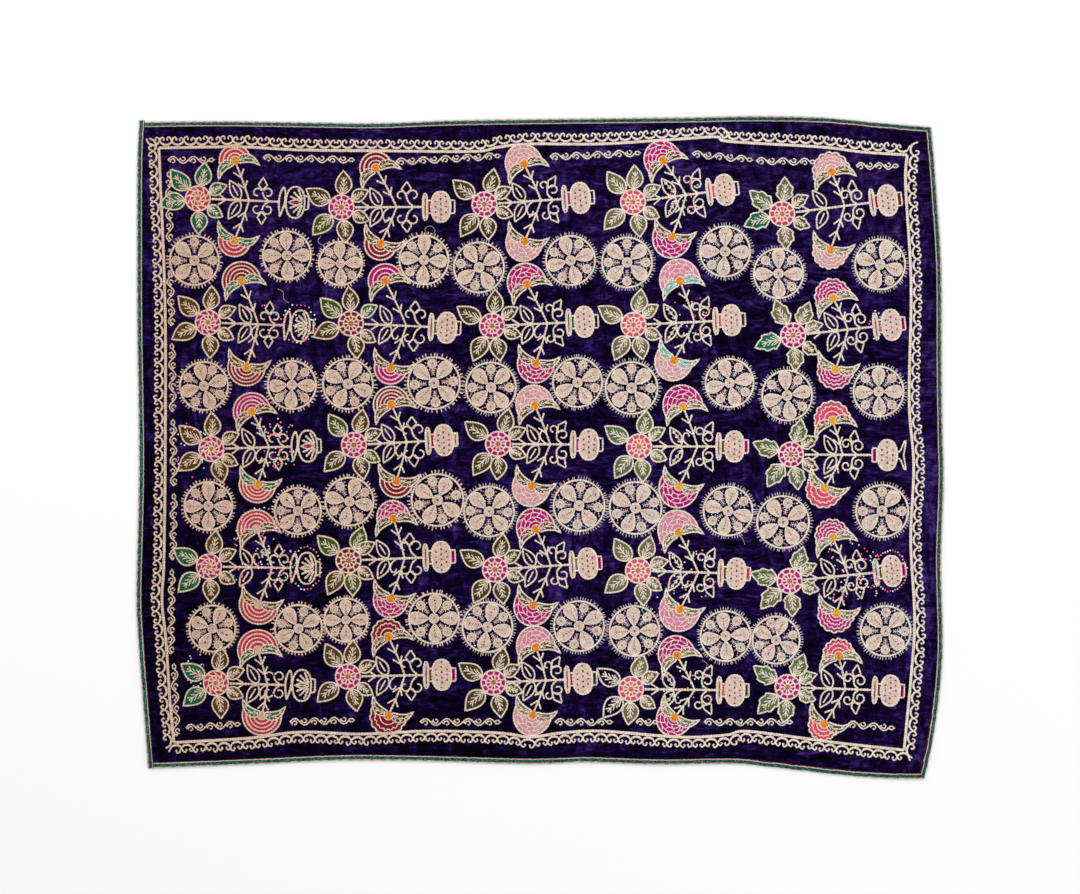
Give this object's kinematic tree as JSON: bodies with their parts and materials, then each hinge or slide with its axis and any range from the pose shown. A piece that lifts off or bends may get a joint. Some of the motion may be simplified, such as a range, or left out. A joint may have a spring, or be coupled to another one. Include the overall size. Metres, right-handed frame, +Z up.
{
  "type": "embroidered velvet panel",
  "caption": "Large flat textile of dark velvet with embroidered flowering plants, wheels and a scroll border, edged with a narrow woven tape. It lies flat and shows its face.",
  "frame": {"origin": "centre of the bounding box on the surface that the cloth lies on", "axes": "+X along the long side to the right of the design, +Y towards the top edge, +Z up out of the embroidered face"},
  "size_m": [1.6958, 1.3918, 0.0071],
  "materials": {
    "velvet": "deep indigo crushed velvet with a soft nap",
    "edge_tape": "narrow woven tape, teal green centre with navy diamonds between cream edges",
    "cream_thread": "cream chain-stitch thread with a soft lustre",
    "leaf_thread": "olive, sage and green embroidery thread",
    "flower_thread": "pink, coral, magenta, orange and yellow embroidery thread",
    "beads": "small opaque glass seed beads in mixed colours"
  },
  "bodies": {
    "root": {"velvet_ground": "velvet", "tape_left": "edge_tape", "tape_top": "edge_tape", "tape_right": "edge_tape", "tape_bottom": "edge_tape"}
  },
  "joints": []
}
